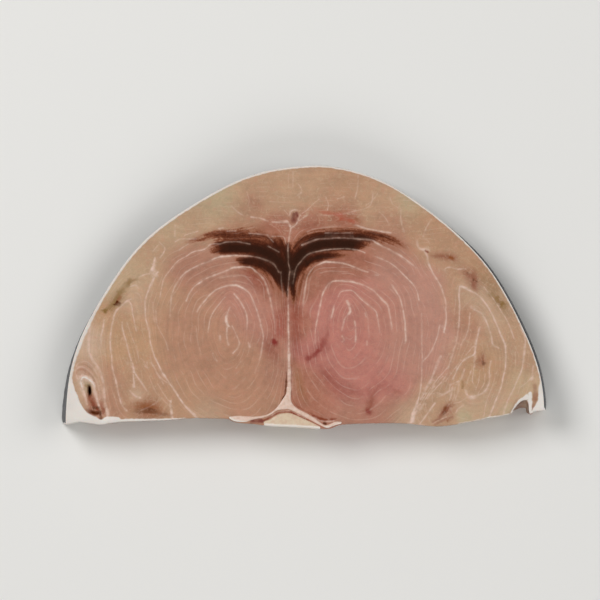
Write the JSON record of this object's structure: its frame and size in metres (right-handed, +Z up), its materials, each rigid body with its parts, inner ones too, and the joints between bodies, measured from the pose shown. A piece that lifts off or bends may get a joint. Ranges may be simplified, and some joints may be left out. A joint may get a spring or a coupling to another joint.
{
  "type": "swordfish steak",
  "caption": "Raw half-round fish steak with skin along its arch, a straight cut edge and ringed muscle lobes around a middle membrane.",
  "frame": {"origin": "centre of the bounding box, on the flat underside that the steak lies on", "axes": "+X along the straight cut edge, +Y from the straight edge to the crown of the skin, +Z up through the thickness"},
  "size_m": [0.223, 0.1212, 0.0217],
  "materials": {
    "white_muscle": "moist raw fish flesh, satin",
    "slate_skin": "dark slate skin, damp, fine grained",
    "white_fascia": "glossy white connective tissue"
  },
  "bodies": {
    "root": {"swordfish_steak": "white_muscle"}
  },
  "joints": []
}
